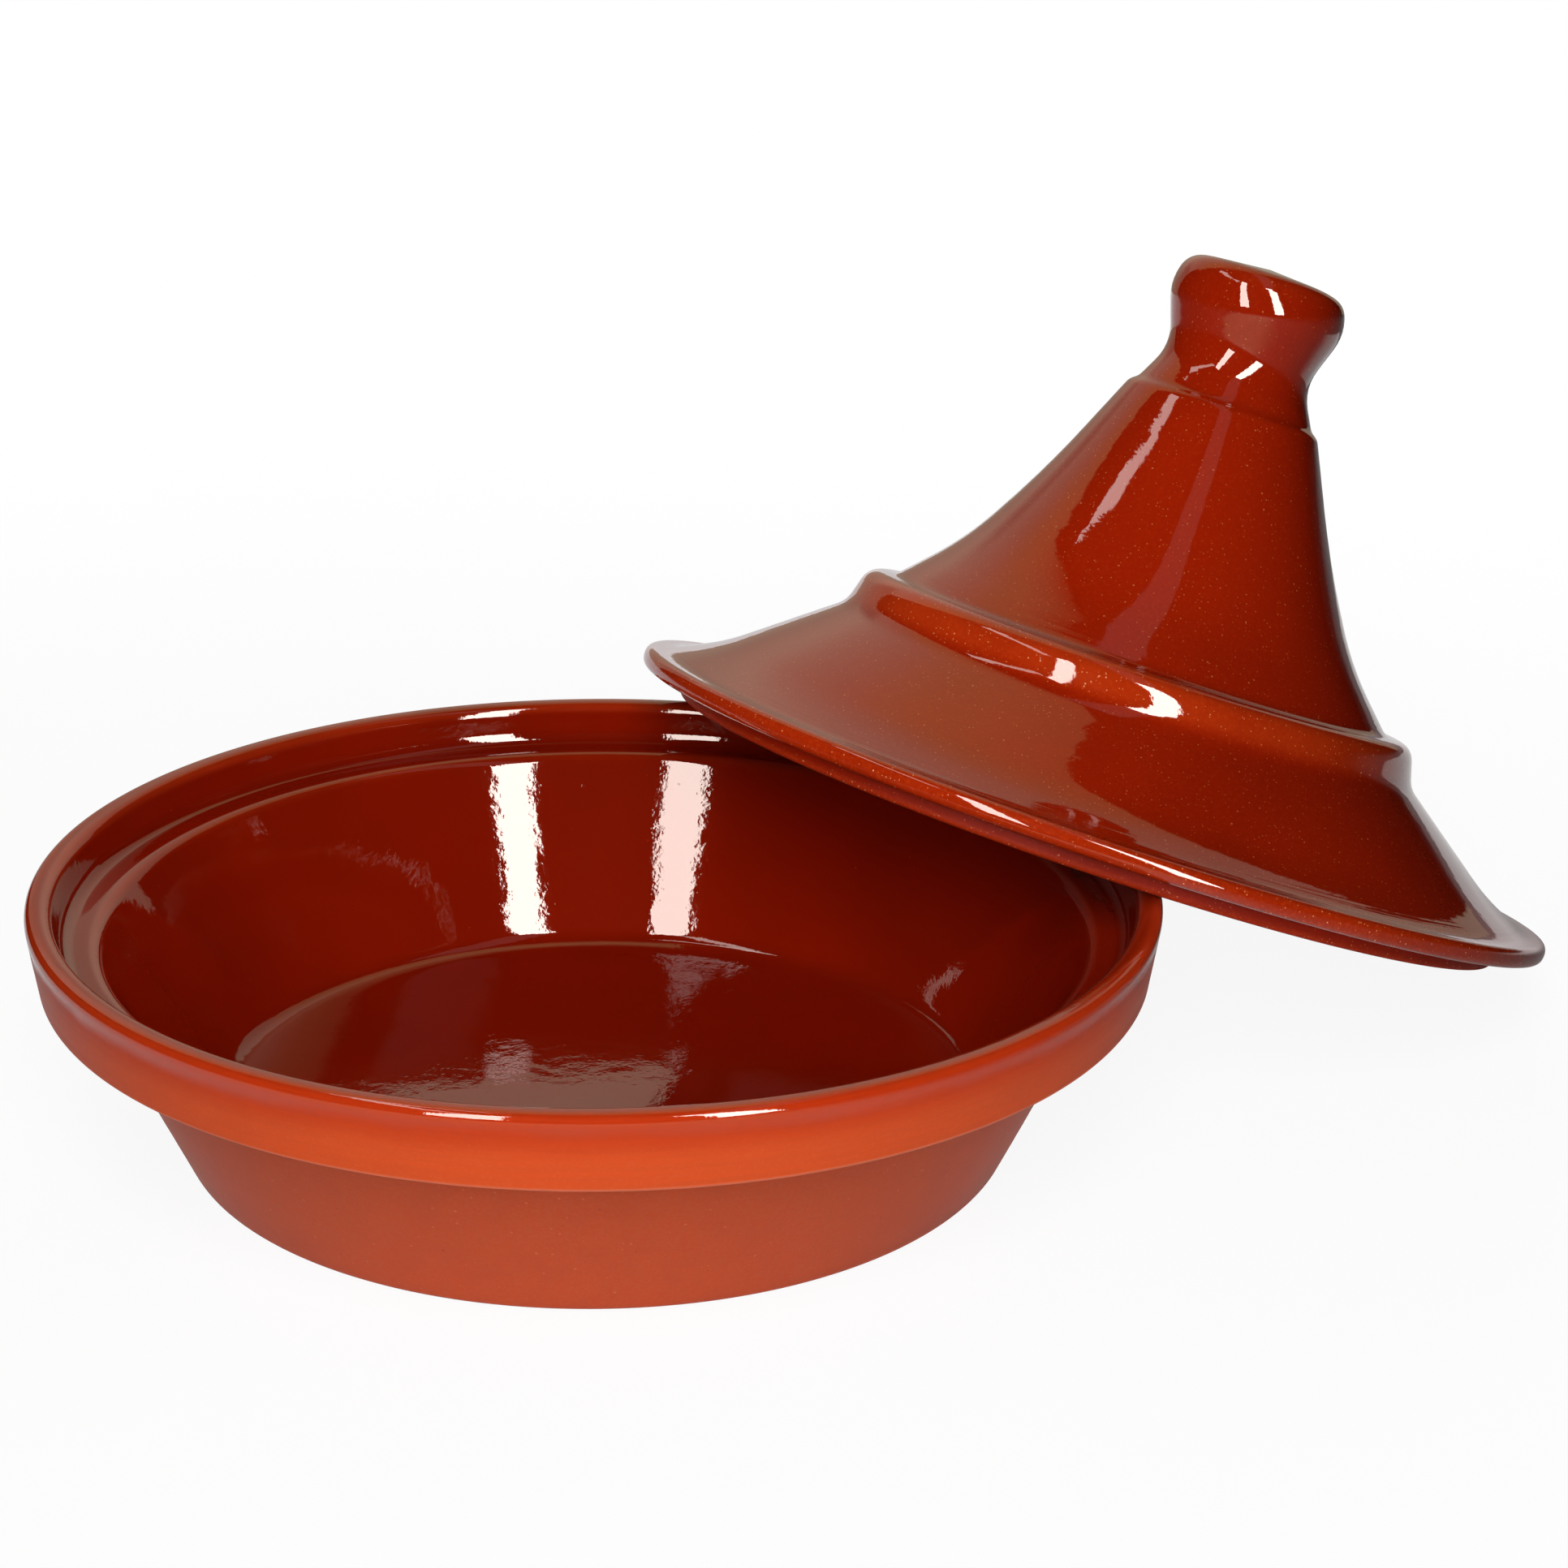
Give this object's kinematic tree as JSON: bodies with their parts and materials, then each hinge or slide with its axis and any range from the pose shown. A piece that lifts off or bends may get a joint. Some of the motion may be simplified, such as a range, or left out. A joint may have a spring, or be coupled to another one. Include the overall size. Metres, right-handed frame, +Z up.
{
  "type": "tagine",
  "caption": "Round glazed tagine: a flat-footed dish with a raised rim and an inner ledge, and a conical lid with a ridge and a knob, leaning on the rim.",
  "frame": {"origin": "centre of the dish's flat foot, on the surface it stands on", "axes": "+Z up along the dish's axis, +Y away from the picture's viewer, +X to the viewer's right"},
  "size_m": [0.4355, 0.3953, 0.2151],
  "materials": {
    "dish": "gloss glaze inside, satin outside",
    "lid": "gloss glaze with fine flecks"
  },
  "bodies": {
    "dish": {"dish": "dish"},
    "lid": {"lid": "lid"}
  },
  "joints": [
    {"name": "lid_lift", "type": "slide", "parent": "dish", "child": "lid", "axis": [0, 0, 1], "range_m": [0, 0.25]}
  ]
}
